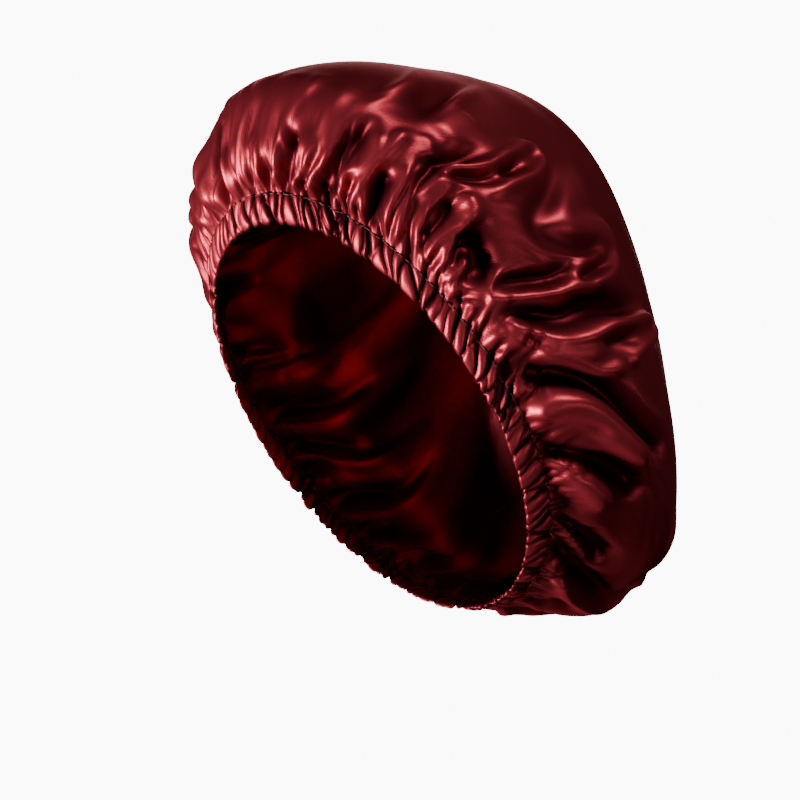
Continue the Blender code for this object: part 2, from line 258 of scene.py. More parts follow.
# The satin is cut as a circle of this radius.
CUT_RADIUS = 290.0

# Mesh of the bag, from the casing up: where each band ends, as a share of the way to the top,
# and its columns and rings.
Band = namedtuple("Band", "end_share columns rings")
BAG_BANDS = [
    Band(0.12, 768, 26),
    Band(0.52, 768, 64),
    Band(0.74, 384, 30),
    Band(0.92, 192, 26),
    Band(0.985, 96, 12),
]
PROFILE_SAMPLES = 500
TIP_LIFT = 0.15

# Steps that a fold's line takes from one of its places to the next.
PATH_STEPS = 6

# How a drawn fold shapes the satin round it, in shares of its half width and height.
FOLD_WIDTH_EASE = 1.05
FOLD_LIFT = 1.15
STEEPEST = 1.4
CREST_ROUNDNESS = 0.22
CREST_FALL = 0.35
CREST_SPAN = 1.4
PULL_FADES = (1.8, 2.9)
PULL_REACH = 3.0
THINNEST = 1.9
PLAIN_WEIGHT = 0.5
FULL_FOLD = 5.0
SLACK_FALL = 0.5
FIRM_FALL = 2.0

# Folds are narrower beside the casing and reach their full width at this rise.
LOW_WIDTH = 0.75
HIGH_WIDTH = 1.2
WIDE_RISE = 60.0

# A fold whose low end lies higher than this fades in there too.
STARTS_FREE = 22.0

# Two grids let the loose satin settle: a coarse one for the large folds, then a fine one.
# They reach from the casing up to SIM_TOP, a share of the way to the bag's top.
COARSE_COLUMNS = 384
COARSE_RINGS = 76
COARSE_TURNS = 140
SIM_COLUMNS = 768
SIM_RINGS = 150
SIM_TURNS = 110
SIM_TOP = 0.93

# Each turn: the share of its speed that the satin keeps, the share of each pull that it
# follows, its pull back to the drawn folds, all over and on their crests, and a slight puff.
SIM_GLIDE = 0.8
SIM_STEP = 0.45
HOLD = 0.04
FOLD_HOLD = 0.5
BREATH = 0.002

# Stiffness against slanting and bending, and the smoothing round the opening, less so
# beside the casing.
SHEAR = 0.1
BEND = 0.4
STIFF_SHARE = 0.96
SOFTEN = 0.07
SOFTEN_LOW = 0.15
SOFTEN_RISE = (8.0, 60.0)

# Slack: extra width on the folds' crests and beside the casing, and the share of the
# length that the drawn folds add upward.
FOLD_SLACK = 0.12
CASING_SLACK = 0.15
CASING_SLACK_RISE = (8.0, 32.0)
UPWARD_KEPT = 0.3

# Rises above the casing over which the folds grow in, and stations over which they die out.
GROW_IN = (-2.0, 9.0)
DIE_OUT = (0.86, 1.0)

# The most that the satin stands out from the plain bag, and sinks below it.
LIFT_MOST = 9.0
SINK_MOST = 8.5
KEEP_WITHIN = 0.5

# Smoothing of the finished bag's smallest lumps, growing over the first rings.
EVEN_TURNS = 3
EVEN_RINGS = (3.0, 16.0)
EVEN_STRENGTH = 0.5

# The gathers. angle: degrees round the opening; depth, reach and sharpness: mm; lean: degrees
# that the valley wanders for each mm up the satin.
Valley = namedtuple("Valley", "angle depth reach lean phase sharpness")
CASING_ROUND = 640.0
GATHER_PITCH = (2.3, 7.6)
GATHER_STEP = (0.3, 1.3)
GATHER_DEPTH = (1.1, 3.6)
GATHER_LEAN = (-0.16, 0.16)
GATHER_SHARPNESS = (0.7, 1.5)
GATHER_MEAN = 0.9
GATHER_SEED = 11

# The gathers crowd together and thin out in two slow waves, in radians for each mm.
CROWDING = (0.031, 0.083)

# How far the gathers run above the casing: the share of them up to here, shortest, longest.
GATHER_REACHES = [
    (0.5, 9.0, 20.0),
    (0.85, 20.0, 38.0),
    (1.0, 38.0, 70.0),
]

# A valley wanders from side to side, widens up the satin, and is calmer at the very edge.
WANDER_TOP = 80.0
WANDER_MIDDLE = 8.0
WANDER_DEGREES = 0.9
WANDER_RATE = 0.21
VALLEY_WIDENS = 0.02
VALLEY_REACH = 5.0
VALLEY_SHAPE = 1.3
VALLEY_FADES = 0.45
EDGE_CALM = 0.45
EDGE_WIDTH = 5.0

# Slow swells of the slack satin, and the puff above the casing.
SWELL_HEIGHT = 1.2
SWELLS = 4.0
SWELL_TWIST = 0.02
SWELL_STARTS = (10.0, 60.0)
PUFF_HEIGHT = 3.5
PUFF_MIDDLE = 18.0
PUFF_SPREAD = 18.0
PUFF_STARTS = (-1.0, 8.0)

# Heights from the bottom of a fold or gather to its crest, which scale the painted shade: the colour
# is painted darker deep in the folds and gathers, lighter on their crests.
BAG_SHADE_SPAN = 13.0
CASING_SHADE_SPAN = 2.6

# The casing's mesh, its thickness on either side, how far it begins above the opening's edge
# and stops short of the casing's width, and how much its edge wavers.
CASING_COLUMNS = 1400
CASING_OUTER = 15
CASING_INNER = 6
CASING_PLUMPNESS = 1.5
CASING_BACK = 1.3
CASING_FOOT = 0.3
CASING_SHORT = 0.1
CASING_ROUNDING = 0.55
BACK_RUFFLE = 0.4
EDGE_WAVER = 0.7
EDGE_LINE = 4.0

# Lockstitches: real thread is about 0.3 mm thick, drawn at 0.48 mm so that it shows.
SEAM_COLUMNS = 1400
STITCH_SIZES = {"Stitch Pitch": 3.1, "Stitch Length": 2.2, "Thread Radius": 0.24}
STITCH_PROUD = 0.6


# ---------------- the bag's surface


def smooth_step(low, high, value):
    """0 up to low, 1 from high on, and a smooth rise between them."""
    share = np.clip((value - low) / (high - low), 0.0, 1.0)
    return share * share * (3.0 - 2.0 * share)


def through(part, p0, p1, p2, p3):
    """A smooth curve's place on its way from p1, at part 0, to p2, at part 1."""
    line = 2.0 * p1 + (p2 - p0) * part
    curve = (2.0 * p0 - 5.0 * p1 + 4.0 * p2 - p3) * part ** 2
    twist = (3.0 * p1 - p0 - 3.0 * p2 + p3) * part ** 3
    return 0.5 * (line + curve + twist)


def section_values(station):
    """The sections' sizes at a share of the way from the opening to the top, smoothly joined."""
    rows = np.array(BAG_SECTIONS, dtype=float)
    before = 2.0 * rows[0] - rows[1]
    top = rows[-1]
    mirrored = rows[-2]
    after = np.array([
        mirrored[0],
        2.0 * top[1] - mirrored[1],
        2.0 * top[2] - mirrored[2],
        -mirrored[3],
    ])
    knots = np.vstack([before, rows, after])
    spans = len(rows) - 1
    place = np.clip(station, 0.0, 1.0) * spans
    index = np.minimum(place.astype(int), spans - 1)
    part = (place - index)[..., None]
    return through(part, *(knots[index + k] for k in range(4)))


def bag_point(angle, station):
    """A place on the plain bag, in millimetres."""
    values = section_values(station)
    height = values[..., 0]
    front = -values[..., 1]
    back = values[..., 2]
    risen = np.clip(height / FULLNESS_HEIGHT, 0.0, 1.0)
    corner = np.sin(2.0 * angle) ** 2 * (np.cos(angle) < 0.0) * risen
    fuller = 1.0 + BACK_FULLNESS * corner
    along = 0.5 * (front + back) - 0.5 * (back - front) * np.cos(angle) * fuller
    side = values[..., 3] * np.sin(angle) * fuller
    depth = along * math.cos(OPENING_TILT) + height * math.sin(OPENING_TILT)
    lift = height * math.cos(OPENING_TILT) - along * math.sin(OPENING_TILT)
    return np.stack([side, depth, lift], axis=-1)


def rise_table(angle):
    """Stations and the length of satin up to each one, for every angle."""
    stations = np.linspace(0.0, 1.0, PROFILE_SAMPLES)
    grid = bag_point(angle[:, None] + 0.0 * stations, stations[None, :] + 0.0 * angle[:, None])
    steps = np.linalg.norm(np.diff(grid, axis=1), axis=2)
    lengths = np.concatenate([np.zeros((len(angle), 1)), np.cumsum(steps, axis=1)], axis=1)
    return stations, lengths


def station_at_rise(angle, rise):
    """Stations of places that lie this far along the satin from the opening's edge."""
    stations, lengths = rise_table(angle)
    return np.array([np.interp(r, row, stations) for r, row in zip(rise, lengths)])


def bag_normal(angle, station):
    """The plain bag's direction outwards."""
    nudge = 0.002
    low = np.clip(station - nudge, 0.0, 1.0)
    high = np.clip(station + nudge, 0.0, 1.0)
    up = bag_point(angle, high) - bag_point(angle, low)
    around = bag_point(angle + nudge, station) - bag_point(angle - nudge, station)
    normal = np.cross(around, up)
    length = np.linalg.norm(normal, axis=-1, keepdims=True)
    return normal / np.maximum(length, 1e-9)


# ---------------- folds and gathers


def fan_folds(fan, chance):
    """The fan's folds, evenly spread, with a part of chance in every measure."""
    folds = []
    span = fan.end - fan.start
    for number in range(fan.count):
        angle = fan.start + (number + chance.uniform(*FAN_SPOT)) * span / fan.count
        low = chance.uniform(*fan.low)
        reach = chance.uniform(*fan.reach)
        drift = chance.uniform(*fan.drift)
        width = chance.uniform(*fan.width)
        height = chance.uniform(*fan.height)
        height *= (-1.0) ** number if fan.by_turns else chance.choice((-1.0, 1.0))
        line = [
            (angle, low),
            (angle + fan.bend * drift, 0.5 * (low + reach)),
            (angle + drift, reach),
        ]
        folds.append(Fold(fan.name, width, height, fan.fade, line))
    return folds


def back_folds(chance):
    """Long soft ridges and troughs, fanned out from the casing, with a loop here and there."""
    folds = []
    step = (HIDDEN_TO - HIDDEN_FROM) / HIDDEN_FOLDS
    for number in range(HIDDEN_FOLDS):
        angle = HIDDEN_FROM + (number + chance.uniform(*HIDDEN_SPOT)) * step
        reach = chance.uniform(*HIDDEN_REACH)
        drift = chance.uniform(*HIDDEN_DRIFT)
        width = chance.uniform(*HIDDEN_WIDTH)
        height = chance.uniform(*HIDDEN_HEIGHT)
        ridge = [(angle, HIDDEN_LOW)]
        ridge += [(angle + turn * drift, up * reach) for turn, up in RIDGE_WAY]
        folds.append(Fold("back ridge", width, height, BACK_FADE, ridge))
        valley = angle + 0.5 * step
        trough = [(valley, HIDDEN_LOW)]
        trough += [(valley + turn * drift, up * reach) for turn, up in TROUGH_WAY]
        folds.append(Fold("back trough", TROUGH_WIDTH * width, -height, BACK_FADE, trough))
        if number % LOOP_EVERY == 1:
            loop = [
                (angle + turn * drift + on * step, up * reach + more)
                for turn, on, up, more in LOOP_WAY
            ]
            folds.append(Fold("back loop", LOOP_SIZE * width, LOOP_SIZE * height, LOOP_FADE, loop))
    return folds


def hidden_folds():
    """The folds of the back and of the wearer's right."""
    chance = np.random.default_rng(FOLD_SEED)
    return back_folds(chance) + fan_folds(SWEEP_FAN, chance)


BROW_CREASES = fan_folds(BROW_FAN, np.random.default_rng(CREASE_SEED))
FOLDS = SEEN_FOLDS + BROW_CREASES + hidden_folds()


def smooth_path(path, samples):
    """A curve through the path's places."""
    places = np.array(path, dtype=float)
    knots = np.vstack([2.0 * places[0] - places[1], places, 2.0 * places[-1] - places[-2]])
    curve = []
    for span in range(len(places) - 1):
        for step in range(samples):
            curve.append(through(step / samples, *knots[span:span + 4]))
    curve.append(places[-1])
    return np.array(curve)


def fold_line(fold):
    """The fold's line over the plain bag, from its low end to its high end, and the rises along it."""
    path = fold.path if fold.path[0][1] <= fold.path[-1][1] else fold.path[::-1]
    curve = smooth_path(path, PATH_STEPS)
    angle = np.radians(curve[:, 0])
    station = station_at_rise(angle, curve[:, 1][:, None])[:, 0]
    return bag_point(angle, station), curve[:, 1]


def line_distance(points, line):
    """Distance from each point to the line, and the share of the line's length passed."""
    starts = line[:-1]
    steps = line[1:] - starts
    lengths = np.linalg.norm(steps, axis=1)
    passed = np.concatenate([[0.0], np.cumsum(lengths)])
    reach = points[:, None, :] - starts[None, :, :]
    along = (reach * steps).sum(axis=2) / np.maximum(lengths ** 2, 1e-9)
    along = np.clip(along, 0.0, 1.0)
    gap = np.linalg.norm(reach - along[..., None] * steps, axis=2)
    nearest = gap.argmin(axis=1)
    rows = np.arange(len(points))
    place = passed[nearest] + along[rows, nearest] * lengths[nearest]
    return gap[rows, nearest], place / passed[-1]


def fold_fields(points):
    """How far the drawn folds lift or sink each point, the slack there, and how firmly it is held.

    Each fold pulls the satin to its own height, the harder the nearer it is, so that a ridge
    beside a trough keeps its full height and the slope between them is steep.
    """
    total = np.full(len(points), PLAIN_WEIGHT)
    offset = np.zeros(len(points))
    firm = np.zeros(len(points))
    slack = np.zeros(len(points))
    for fold in FOLDS:
        line, rises = fold_line(fold)
        widest = 0.5 * fold.width * FOLD_WIDTH_EASE * HIGH_WIDTH
        margin = PULL_REACH * widest
        above_low = points > line.min(axis=0) - margin
        below_high = points < line.max(axis=0) + margin
        near = np.all(above_low & below_high, axis=1)
        if not near.any():
            continue
        distance, place = line_distance(points[near], line)
        marks = np.linspace(0.0, 1.0, len(rises))
        high = smooth_step(CASING_WIDTH, WIDE_RISE, np.interp(place, marks, rises))
        half = widest * (LOW_WIDTH + (HIGH_WIDTH - LOW_WIDTH) * high) / HIGH_WIDTH
        half = np.maximum(half, THINNEST)
        across = distance / half
        drawn = np.minimum(FOLD_LIFT * abs(fold.height), STEEPEST * half)
        lift = math.copysign(1.0, fold.height) * drawn
        lift = lift * (1.0 - CREST_FALL * np.minimum(across, CREST_SPAN) ** 2)
        ends = smooth_step(0.0, fold.fade, 1.0 - place)
        if rises[0] > STARTS_FREE:
            ends = ends * smooth_step(0.0, 0.5 * fold.fade, place)
        weight = ends * (1.0 - smooth_step(*PULL_FADES, across)) / (across ** 2 + CREST_ROUNDNESS) ** 2
        total[near] += weight
        offset[near] += weight * lift * ends
        strength = ends * min(abs(fold.height) / FULL_FOLD, 1.0)
        slack[near] = np.maximum(slack[near], strength * np.exp(-SLACK_FALL * across ** 2))
        firm[near] = np.maximum(firm[near], strength * np.exp(-FIRM_FALL * across ** 2))
    return offset / total, slack, firm


def gather_valleys():
    """The sharp valleys between the gathers, all round the casing: some crowded, some far apart."""
    chance = np.random.default_rng(GATHER_SEED)
    valleys = []
    place = 0.0
    while place < CASING_ROUND - GATHER_PITCH[0]:
        crowd = 0.5 + 0.5 * math.sin(CROWDING[0] * place) * math.sin(CROWDING[1] * place + 1.0)
        kind = chance.uniform()
        shortest, longest = next(row[1:] for row in GATHER_REACHES if kind < row[0])
        reach = chance.uniform(shortest, longest)
        valleys.append(Valley(
            360.0 * place / CASING_ROUND,
            chance.uniform(*GATHER_DEPTH),
            reach,
            chance.uniform(*GATHER_LEAN),
            chance.uniform(0.0, 2.0 * math.pi),
            chance.uniform(*GATHER_SHARPNESS),
        ))
        spare = GATHER_PITCH[1] - GATHER_PITCH[0]
        place += GATHER_PITCH[0] + spare * crowd * chance.uniform(*GATHER_STEP)
    return valleys


VALLEYS = gather_valleys()


def gather_offset(angle, rise):
    """Depth of the gathers: sharp valleys that run over the casing and die out up the bag."""
    degrees = np.degrees(angle)
    millimetres = CASING_ROUND / 360.0
    above = rise - CASING_WIDTH
    up = np.clip(rise, 0.0, WANDER_TOP)
    offset = np.zeros(np.shape(angle))
    for valley in VALLEYS:
        fade_top = 1.0 - smooth_step(VALLEY_FADES * valley.reach, valley.reach, above)
        wander = WANDER_DEGREES * np.sin(WANDER_RATE * up + valley.phase)
        line = valley.angle + valley.lean * (up - WANDER_MIDDLE) + wander
        gap = np.abs((degrees - line + 180.0) % 360.0 - 180.0) * millimetres
        spread = valley.sharpness * (1.0 + VALLEY_WIDENS * up)
        near = (gap < VALLEY_REACH * spread) & (fade_top > 0.0)
        if not near.any():
            continue
        cut = np.exp(-(gap[near] / spread[near]) ** VALLEY_SHAPE)
        offset[near] -= valley.depth * cut * fade_top[near]
    calm = EDGE_CALM + (1.0 - EDGE_CALM) * smooth_step(0.0, EDGE_WIDTH, rise)
    return (offset + GATHER_MEAN) * calm


def billow(angle, rise):
    """Slow swells of the slack satin, and the puff above the casing."""
    above = rise - CASING_WIDTH
    slow = SWELL_HEIGHT * np.sin(SWELLS * angle + SWELL_TWIST * rise)
    puff = PUFF_HEIGHT * np.exp(-((above - PUFF_MIDDLE) / PUFF_SPREAD) ** 2)
    return slow * smooth_step(*SWELL_STARTS, above) + puff * smooth_step(*PUFF_STARTS, above)


# ---------------- meshes


def add_object(name, data):
    made = bpy.data.objects.new(name, data)
    bpy.context.scene.collection.objects.link(made)
    return made


def new_piece(name, points, faces, turn, radius, crest):
    """A smooth mesh with a UV map of the flat cut, from each point's turn and radius there.

    Its crest values run from 0 deep in a fold to 1 on its crest; they set the painted shade, the
    colour painted darker in the folds.
    """
    radius = radius * MM
    uv = np.stack([radius * np.cos(turn), radius * np.sin(turn)], axis=1)
    mesh = bpy.data.meshes.new(name)
    mesh.from_pydata((np.asarray(points) * MM).tolist(), [], faces)
    mesh.validate()
    mesh.update()
    mesh.shade_smooth()
    layer = mesh.uv_layers.new(name="cut")
    corners = np.zeros(len(mesh.loops), dtype=np.int32)
    mesh.loops.foreach_get("vertex_index", corners)
    layer.data.foreach_set("uv", uv[corners].ravel())
    # Painted shade: the crest values are stored so that the satin's colour is painted darker deep in
    # the folds.
    painted_shade_attribute = mesh.attributes.new("crest", "FLOAT", "POINT")
    painted_shade_attribute.data.foreach_set("value", np.clip(crest, 0.0, 1.0))
    return add_object(name, mesh)


def ring_rows():
    """Every ring of the bag: its share of the way to the top and its number of columns."""
    rows = []
    start = 0.0
    for band in BAG_BANDS:
        for ring in range(band.rings):
            share = start + (band.end_share - start) * ring / band.rings
            rows.append((share, band.columns))
        start = band.end_share
    rows.append((BAG_BANDS[-1].end_share, BAG_BANDS[-1].columns))
    return rows


def bag_places(angle, share):
    """Station and rise of places given by angle and by share of the way from casing to top."""
    order, back = np.unique(angle, return_inverse=True)
    stations, lengths = rise_table(order)
    start = CASING_WIDTH - HEM_TUCK
    rise = start + share * (lengths[back, -1] - start)
    station = np.empty(len(angle))
    for number in range(len(order)):
        here = back == number
        station[here] = np.interp(rise[here], lengths[number], stations)
    return station, rise


def apart(places, row_step, column_step):
    """Lengths between places of the grid that are these steps apart."""
    second = np.roll(places[row_step:], -column_step, axis=1)
    return np.linalg.norm(second - places[:len(places) - row_step], axis=2)


def pull(move, places, way, lengths, stiffness, row_step, column_step):
    """Adds to move what brings each pair of places, these steps apart, to its length.

    Where way is "push", pairs that are too near are pushed apart, and none is pulled together.
    """
    first = places[:len(places) - row_step]
    second = np.roll(places[row_step:], -column_step, axis=1)
    between = second - first
    length = np.sqrt(np.einsum("rci,rci->rc", between, between))
    wrong = (length - lengths) / np.maximum(length, 1e-6)
    if way == "push":
        wrong = np.minimum(wrong, 0.0)
    share = between * (0.5 * stiffness * wrong)[..., None]
    move[:len(places) - row_step] += share
    move[row_step:] -= np.roll(share, column_step, axis=1)


def relax(columns, rings, turns, gathers, earlier):
    """Lets the slack satin settle on a grid of this size; returns its moves from the drawn shape."""
    angle = np.linspace(0.0, 2.0 * math.pi, columns, endpoint=False)
    share = np.linspace(0.0, SIM_TOP, rings)
    angles, shares = np.meshgrid(angle, share)
    flat_angle = angles.ravel()
    station, rise = bag_places(flat_angle, shares.ravel())
    base = bag_point(flat_angle, station)
    normal = bag_normal(flat_angle, station)
    offset, slack, firm = start_fields(base, flat_angle, rise, station, gathers)
    hold = HOLD + FOLD_HOLD * firm.reshape(rings, columns, 1)
    begun = np.zeros(base.shape)
    if earlier is not None:
        begun = read_grid(earlier, flat_angle, shares.ravel())
    start = base + normal * offset[:, None]
    shape = (rings, columns, 3)
    base = base.reshape(shape)
    normal = normal.reshape(shape)
    start = start.reshape(shape)
    aim = start + begun.reshape(shape)
    above = rise.reshape(rings, columns) - CASING_WIDTH
    ratio = 1.0 + FOLD_SLACK * slack.reshape(rings, columns)
    if gathers:
        ratio = np.maximum(ratio, 1.0 + CASING_SLACK * (1.0 - smooth_step(*CASING_SLACK_RISE, above)))
    around = apart(base, 0, 1) * ratio
    around = around + np.maximum(apart(start, 0, 1) - around, 0.0)
    upward = apart(base, 1, 0)
    upward = upward + UPWARD_KEPT * np.maximum(apart(start, 1, 0) - upward, 0.0)
    slant = np.sqrt(around[:-1] ** 2 + upward ** 2)
    around_two = (around + np.roll(around, -1, axis=1)) * STIFF_SHARE
    upward_two = (upward[:-1] + upward[1:]) * STIFF_SHARE
    soften_share = SOFTEN_LOW + (1.0 - SOFTEN_LOW) * smooth_step(*SOFTEN_RISE, above)
    soften = SOFTEN * soften_share[..., None]
    free = np.ones((rings, 1, 1))
    free[:2] = 0.0
    free[-2:] = 0.0
    places = aim.copy()
    drift = np.zeros(shape)
    for turn in range(turns):
        move = hold * (aim - places) + BREATH * normal
        pull(move, places, "both", around, 1.0, 0, 1)
        pull(move, places, "both", upward, 1.0, 1, 0)
        pull(move, places, "both", slant, SHEAR, 1, 1)
        pull(move, places, "both", slant, SHEAR, 1, -1)
        pull(move, places, "push", around_two, BEND, 0, 2)
        pull(move, places, "push", upward_two, BEND, 2, 0)
        beside = np.roll(places, 1, axis=1) + np.roll(places, -1, axis=1)
        move += soften * (0.5 * beside - places)
        drift = SIM_GLIDE * drift + SIM_STEP * move * free
        places = places + drift
        lift = np.einsum("rci,rci->rc", places - base, normal)
        over = np.maximum(lift - LIFT_MOST, 0.0) + np.minimum(lift + SINK_MOST, 0.0)
        places = places - KEEP_WITHIN * normal * over[..., None] * free
    return places - start


def simulate_slack():
    """Large folds settle first on a coarse grid, then the small ones on a fine grid."""
    large = relax(COARSE_COLUMNS, COARSE_RINGS, COARSE_TURNS, False, None)
    return relax(SIM_COLUMNS, SIM_RINGS, SIM_TURNS, True, large)


def start_fields(base, angle, rise, station, gathers):
    """The drawn folds, gathers and swells over the plain bag, and the slack at each place."""
    hem = smooth_step(*GROW_IN, rise - CASING_WIDTH)
    top_calm = 1.0 - smooth_step(*DIE_OUT, station)
    offset, slack, firm = fold_fields(base)
    offset = offset * hem * top_calm + billow(angle, rise) * top_calm
    if gathers:
        offset = offset + gather_offset(angle, rise)
    return offset, slack * hem * top_calm, firm * hem * top_calm


def cubic_weights(part):
    """Catmull-Rom weights of the four grid places round a point."""
    return np.stack([
        -0.5 * part + part ** 2 - 0.5 * part ** 3,
        1.0 - 2.5 * part ** 2 + 1.5 * part ** 3,
        0.5 * part + 2.0 * part ** 2 - 1.5 * part ** 3,
        -0.5 * part ** 2 + 0.5 * part ** 3,
    ], axis=-1)


def read_grid(grid, angle, share):
    """The grid's value at any angle and share, by smooth interpolation."""
    rings, columns = grid.shape[:2]
    across = angle / (2.0 * math.pi) * columns
    up = np.clip(share / SIM_TOP, 0.0, 1.0) * (rings - 1)
    column = np.floor(across).astype(int)
    ring = np.minimum(np.floor(up).astype(int), rings - 2)
    across_weights = cubic_weights(across - column)
    up_weights = cubic_weights(up - ring)
    total = np.zeros((len(angle), 3))
    for i in range(4):
        row = np.clip(ring - 1 + i, 0, rings - 1)
        for j in range(4):
            place = (column - 1 + j) % columns
            weight = up_weights[:, i] * across_weights[:, j]
            total += weight[:, None] * grid[row, place]
    return total


def even_out(points, firsts, rows):
    """Takes the smallest lumps out of the bag's evenly divided rings."""
    columns = rows[0][1]
    count = sum(1 for row in rows if row[1] == columns)
    grid = points[:firsts[count - 1] + columns].reshape(count, columns, 3)
    growing = smooth_step(*EVEN_RINGS, np.arange(1.0, count - 1.0))
    strength = (EVEN_STRENGTH * growing)[:, None, None]
    for turn in range(EVEN_TURNS):
        beside = np.roll(grid, 1, axis=1)[1:-1] + np.roll(grid, -1, axis=1)[1:-1]
        along = grid[:-2] + grid[2:]
        grid[1:-1] += strength * (0.25 * (beside + along) - grid[1:-1])
    points[:firsts[count - 1] + columns] = grid.reshape(-1, 3)


def build_bag():
    """The gathered bag: one sheet of satin over the plain form, with its folds settled."""
    rows = ring_rows()
    columns = BAG_BANDS[0].columns
    full = np.linspace(0.0, 2.0 * math.pi, columns, endpoint=False)
    widths = [row[1] for row in rows]
    firsts = [sum(widths[:ring]) for ring in range(len(rows))]
    angle = np.concatenate([full[::columns // width] for width in widths])
    share = np.repeat([row[0] for row in rows], widths)
    station, rise = bag_places(angle, share)
    base = bag_point(angle, station)
    normal = bag_normal(angle, station)
    offset = start_fields(base, angle, rise, station, True)[0]
    points = base + normal * offset[:, None]
    points = points + read_grid(simulate_slack(), angle, share)
    even_out(points, firsts, rows)
    # Painted shade: the height above the plain bag sets how much darker the colour is painted in the
    # folds.
    raised = ((points - base) * normal).sum(axis=1) - billow(angle, rise)
    crest = np.append(0.5 + raised / BAG_SHADE_SPAN, 0.5)
    tip = points[firsts[-1]:].mean(axis=0)
    away = np.array([0.0, math.sin(OPENING_TILT), math.cos(OPENING_TILT)])
    tip = tip + away * TIP_LIFT
    points = np.vstack([points, tip])
    faces = []
    for ring in range(len(rows) - 1):
        low_columns = rows[ring][1]
        high_columns = rows[ring + 1][1]
        low = firsts[ring]
        high = firsts[ring + 1]
        if low_columns == high_columns:
            for column in range(low_columns):
                beside = (column + 1) % low_columns
                faces.append((low + column, low + beside, high + beside, high + column))
        else:
            for column in range(high_columns):
                beside = (column + 1) % high_columns
                first = low + 2 * column
                second = low + 2 * column + 1
                third = low + (2 * column + 2) % low_columns
                faces.append((first, second, high + column))
                faces.append((second, high + beside, high + column))
                faces.append((second, third, high + beside))
    last = firsts[-1]
    tip_index = len(points) - 1
    for column in range(rows[-1][1]):
        beside = (column + 1) % rows[-1][1]
        faces.append((last + column, last + beside, tip_index))
    radius = CUT_RADIUS * (1.0 - np.append(share, 1.0))
    return new_piece("satin_bag", points, faces, np.append(angle, 0.0), radius, crest)


def build_casing():
    """The gathered tunnel over the elastic: ruffled outside, flatter inside."""
    angle = np.linspace(0.0, 2.0 * math.pi, CASING_COLUMNS, endpoint=False)
    stations, lengths = rise_table(angle)
    outside = [(step / (CASING_OUTER - 1), 1.0) for step in range(CASING_OUTER)]
    inside = [(1.0 - step / (CASING_INNER + 1), -1.0) for step in range(1, CASING_INNER + 1)]
    loop = outside + inside
    edge = gather_offset(angle, np.full(len(angle), EDGE_LINE))
    rings = []
    crests = []
    for share, side in loop:
        along = CASING_FOOT + share * (CASING_WIDTH - CASING_FOOT - CASING_SHORT)
        rise = np.full(len(angle), along)
        ruffle = gather_offset(angle, rise)
        rise = rise - EDGE_WAVER * edge * (1.0 - share) ** 3
        station = np.array([np.interp(r, row, stations) for r, row in zip(rise, lengths)])
        base = bag_point(angle, station)
        normal = bag_normal(angle, station)
        round_off = math.sin(math.pi * share) ** CASING_ROUNDING
        if side > 0.0:
            offset = CASING_PLUMPNESS * round_off + ruffle
        else:
            offset = -CASING_BACK * round_off + BACK_RUFFLE * ruffle
        rings.append(base + normal * offset[:, None])
        # Painted shade: the gathers' depth sets how much darker the casing's colour is painted in
        # their valleys.
        crests.append(0.5 + ruffle / CASING_SHADE_SPAN)
    points = np.stack(rings, axis=1).reshape(-1, 3)
    crest = np.stack(crests, axis=1).ravel()
    corners = len(loop)
    faces = []
    for column in range(CASING_COLUMNS):
        beside = (column + 1) % CASING_COLUMNS
        for corner in range(corners):
            following = (corner + 1) % corners
            faces.append((
                column * corners + corner,
                beside * corners + corner,
                beside * corners + following,
                column * corners + following,
            ))
    turn = np.repeat(angle, corners)
    rise = np.tile([share * CASING_WIDTH for share, side in loop], CASING_COLUMNS)
    return new_piece("casing_ruffle", points, faces, turn, CUT_RADIUS - rise, crest)


# ---------------- materials


def linear(hex_colour):
    """An sRGB hex colour as linear red, green, blue and alpha."""
    values = [int(hex_colour[i:i + 2], 16) / 255.0 for i in (1, 3, 5)]
    linear_values = [v / 12.92 if v <= 0.04045 else ((v + 0.055) / 1.055) ** 2.4 for v in values]
    return (*linear_values, 1.0)


def add_node(tree, kind, settings=None, links=None):
    """A node with its settings and its links, by the names of its inputs or their numbers."""
    node = tree.nodes.new(kind)
    for name, value in (settings or {}).items():
        if name in node.inputs:
            node.inputs[name].default_value = value
        else:
            setattr(node, name, value)
    for name, source in (links or {}).items():
        tree.links.new(source, node.inputs[name])
    return node


# The satin's floats are threads 0.1 mm apart, too fine to show: they are drawn 0.7 mm apart
# and five times as long.
FLOATS_PER_METRE = 1400.0
FLOAT_STRETCH = 5.0
FLOAT_RELIEF = {"Strength": 0.4, "Distance": 0.0003}

# Satin's gloss: clear on the crests and wide enough to glow, tinted by the dyed threads.
SATIN = {
    "Metallic": 0.85,
    "Roughness": 0.44,
    "Specular IOR Level": 0.1,
    "Specular Tint": linear("#D8626A"),
    "Sheen Weight": 0.05,
    "Sheen Roughness": 0.4,
    "Sheen Tint": linear("#A03048"),
}

# Painted shade: the colour is painted darker deep in the folds and lighter on their crests; the dye
# also varies a little in patches about 50 mm across.
PAINTED_SHADE_RANGE = {"From Min": 0.15, "From Max": 0.8}
PATCHES = {"Scale": 18.0, "Detail": 3.0}
PATCH_RANGE = {"To Min": -0.25, "To Max": 0.25}


